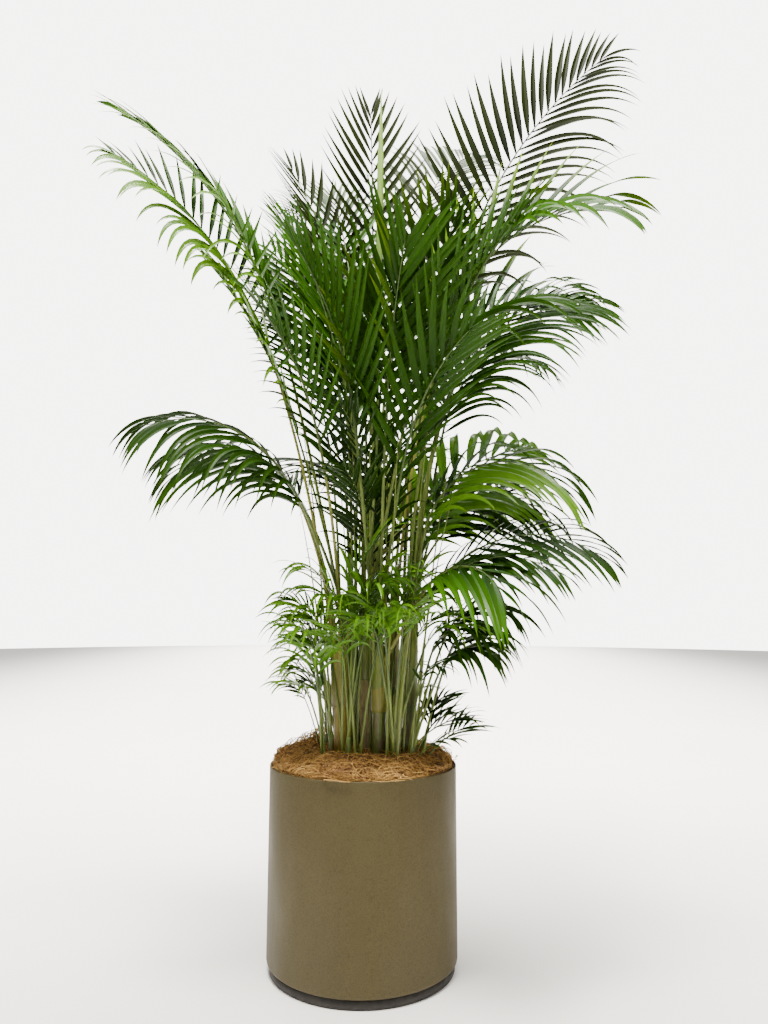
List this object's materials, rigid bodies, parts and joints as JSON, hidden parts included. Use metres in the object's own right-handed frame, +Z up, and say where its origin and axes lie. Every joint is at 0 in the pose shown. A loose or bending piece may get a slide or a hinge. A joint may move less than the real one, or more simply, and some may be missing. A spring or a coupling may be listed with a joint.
{
  "type": "potted areca palm",
  "caption": "Clump-forming palm with upright canes and arching feather-shaped fronds, growing in a tall straight-sided round planter mulched with coir.",
  "frame": {"origin": "centre of the planter's flat underside", "axes": "+Z up along the planter's axis, +X to the right and -Y towards the side the picture was taken from"},
  "size_m": [1.3432, 1.1176, 2.2986],
  "materials": {
    "pot": "matte",
    "pot_foot": "matte",
    "soil": "matte",
    "coir": "matte",
    "cane": "satin",
    "frond": "satin"
  },
  "bodies": {
    "root": {"cane_a": "cane", "cane_b": "cane", "cane_c": "cane", "cane_d": "cane", "cane_e": "cane", "cane_f": "cane", "cane_g": "cane", "cane_h": "cane", "cane_i": "cane", "coir_mulch": "coir", "frond_arch_left": "frond", "frond_arch_right_inner": "frond", "frond_arch_right_outer": "frond", "frond_back_a": "frond", "frond_back_b": "frond", "frond_back_c": "frond", "frond_back_right": "frond", "frond_centre_front": "frond", "frond_centre_high": "frond", "frond_centre_lean_left": "frond", "frond_centre_left": "frond", "frond_cross_right": "frond", "frond_front_a": "frond", "frond_front_b": "frond", "frond_front_left": "frond", "frond_front_right": "frond", "frond_high_left": "frond", "frond_high_right": "frond", "frond_low_back_a_inner": "frond", "frond_low_back_a_outer": "frond", "frond_low_back_b_inner": "frond", "frond_low_back_b_outer": "frond", "frond_low_back_c_inner": "frond", "frond_low_back_c_outer": "frond", "frond_low_left_back_inner": "frond", "frond_low_left_back_outer": "frond", "frond_low_left_inner": "frond", "frond_low_left_outer": "frond", "frond_low_right_a_inner": "frond", "frond_low_right_a_outer": "frond", "frond_low_right_b_inner": "frond", "frond_low_right_b_outer": "frond", "frond_low_right_c_inner": "frond", "frond_low_right_c_outer": "frond", "frond_low_right_d_inner": "frond", "frond_low_right_d_outer": "frond", "frond_mid_left": "frond", "frond_mid_right_back_inner": "frond", "frond_mid_right_back_outer": "frond", "frond_mid_right_inner": "frond", "frond_mid_right_outer": "frond", "pot": "pot", "pot_foot": "pot_foot", "root_ball": "soil", "shoot_back": "frond", "shoot_front": "frond", "shoot_left": "frond", "shoot_middle": "frond", "shoot_right": "frond", "shoot_side": "frond"}
  },
  "joints": []
}
